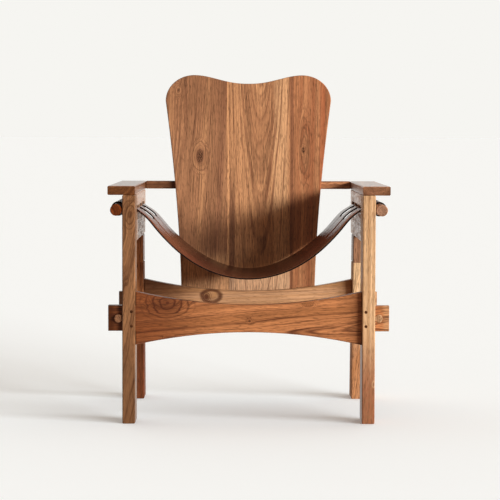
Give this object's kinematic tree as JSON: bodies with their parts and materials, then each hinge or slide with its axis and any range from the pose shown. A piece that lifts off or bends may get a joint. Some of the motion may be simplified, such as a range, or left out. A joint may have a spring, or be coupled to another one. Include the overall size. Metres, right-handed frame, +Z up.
{
  "type": "leather sling lounge chair",
  "caption": "Low teak lounge chair with a leather sling seat hung between slotted side frames and a wide solid wood back.",
  "frame": {"origin": "on the floor, under the middle of the chair's width and depth", "axes": "+Z up, -Y towards the front of the chair, +X to the right as seen from the front"},
  "size_m": [0.705, 0.5938, 0.8885],
  "materials": {
    "teak_leg": "oiled teak, satin",
    "teak_panel": "oiled teak, satin, silvery sheen",
    "teak_arm": "oiled teak, satin",
    "teak_rail": "oiled teak, satin",
    "teak_board": "oiled teak, satin",
    "teak_rod": "oiled teak, satin",
    "teak_peg": "bare teak",
    "dark_pin": "end grain, dark",
    "leather": "waxed saddle leather with painted edges",
    "brass_screw": "satin"
  },
  "bodies": {
    "chair": {"front_leg_left": "teak_leg", "front_leg_right": "teak_leg", "rear_leg_left": "teak_leg", "rear_leg_right": "teak_leg", "rear_leg_upper_left": "teak_leg", "rear_leg_upper_right": "teak_leg", "side_panel_left": "teak_panel", "side_panel_right": "teak_panel", "armrest_left": "teak_arm", "armrest_right": "teak_arm", "splice_tenon_left": "teak_peg", "splice_tenon_right": "teak_peg", "arm_dowel_left_1": "teak_peg", "arm_dowel_left_2": "teak_peg", "arm_dowel_left_3": "teak_peg", "arm_dowel_left_4": "teak_peg", "arm_dowel_left_5": "teak_peg", "arm_dowel_right_1": "teak_peg", "arm_dowel_right_2": "teak_peg", "arm_dowel_right_3": "teak_peg", "arm_dowel_right_4": "teak_peg", "arm_dowel_right_5": "teak_peg", "leg_dowel_left_1": "teak_peg", "leg_dowel_left_2": "teak_peg", "leg_dowel_right_1": "teak_peg", "leg_dowel_right_2": "teak_peg", "front_seat_rail": "teak_rail", "rear_seat_rail": "teak_rail", "drawbore_pin_front_left_1": "dark_pin", "drawbore_pin_front_left_2": "dark_pin", "drawbore_pin_front_right_1": "dark_pin", "drawbore_pin_front_right_2": "dark_pin", "drawbore_pin_rear_left_1": "dark_pin", "drawbore_pin_rear_left_2": "dark_pin", "drawbore_pin_rear_right_1": "dark_pin", "drawbore_pin_rear_right_2": "dark_pin", "back_plank_left": "teak_board", "back_plank_middle": "teak_board", "back_plank_right": "teak_board", "back_screw_lower_1": "brass_screw", "back_screw_lower_2": "brass_screw", "back_screw_lower_3": "brass_screw", "back_screw_lower_4": "brass_screw", "back_screw_upper_1": "brass_screw", "back_screw_upper_2": "brass_screw", "back_screw_upper_3": "brass_screw", "back_screw_upper_4": "brass_screw", "back_bar": "teak_arm", "leather_sling": "leather"},
    "rod_left": {"sling_rod_left": "teak_rod"},
    "rod_right": {"sling_rod_right": "teak_rod"},
    "peg_front_left": {"tusk_peg_front_left": "teak_peg"},
    "peg_front_right": {"tusk_peg_front_right": "teak_peg"},
    "peg_rear_left": {"tusk_peg_rear_left": "teak_peg"},
    "peg_rear_right": {"tusk_peg_rear_right": "teak_peg"}
  },
  "joints": [
    {"name": "rod_left_draw", "type": "slide", "parent": "chair", "child": "rod_left", "axis": [0, -1, 0], "range_m": [0, 0.6]},
    {"name": "rod_right_draw", "type": "slide", "parent": "chair", "child": "rod_right", "axis": [0, -1, 0], "range_m": [0, 0.6]},
    {"name": "peg_front_left_draw", "type": "slide", "parent": "chair", "child": "peg_front_left", "axis": [0, -1, 0], "range_m": [0, 0.07]},
    {"name": "peg_front_right_draw", "type": "slide", "parent": "chair", "child": "peg_front_right", "axis": [0, -1, 0], "range_m": [0, 0.07]},
    {"name": "peg_rear_left_draw", "type": "slide", "parent": "chair", "child": "peg_rear_left", "axis": [0, 1, 0], "range_m": [0, 0.07]},
    {"name": "peg_rear_right_draw", "type": "slide", "parent": "chair", "child": "peg_rear_right", "axis": [0, 1, 0], "range_m": [0, 0.07]}
  ]
}
